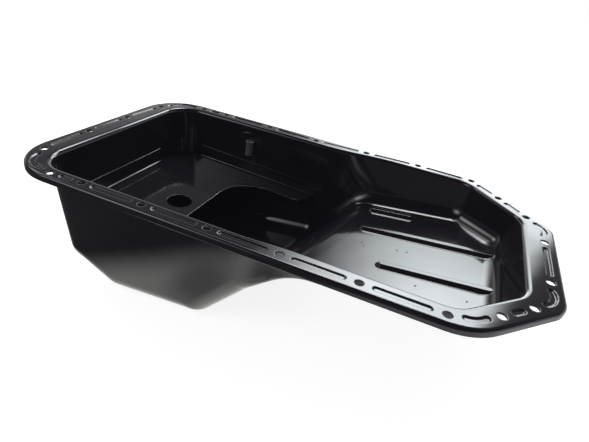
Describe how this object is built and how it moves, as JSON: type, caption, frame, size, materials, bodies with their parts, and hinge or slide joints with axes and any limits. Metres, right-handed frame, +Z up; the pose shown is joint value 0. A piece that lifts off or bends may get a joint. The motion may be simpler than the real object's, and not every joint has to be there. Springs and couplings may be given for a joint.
{
  "type": "engine oil pan",
  "caption": "Pressed steel engine oil pan with a deep sump, a shallow trough, a grooved gasket flange, a welded windage baffle and a drain plug.",
  "frame": {"origin": "in the plane of the gasket face, under the crankshaft's axis, midway along the flange", "axes": "+Z up out of the pan towards the engine block, +X along the pan from the deep sump to the shallow trough, -Y the long side with six bolt holes in line"},
  "size_m": [0.465, 0.2595, 0.1279],
  "materials": {
    "coated_steel": "gloss black coat",
    "plated_steel": "dull zinc plate",
    "soft_aluminium": "plain"
  },
  "bodies": {
    "root": {"pan_shell": "coated_steel", "baffle_plate": "coated_steel", "dipstick_guide": "coated_steel", "drain_boss": "coated_steel", "drain_plug": "plated_steel", "drain_washer": "soft_aluminium"}
  },
  "joints": []
}
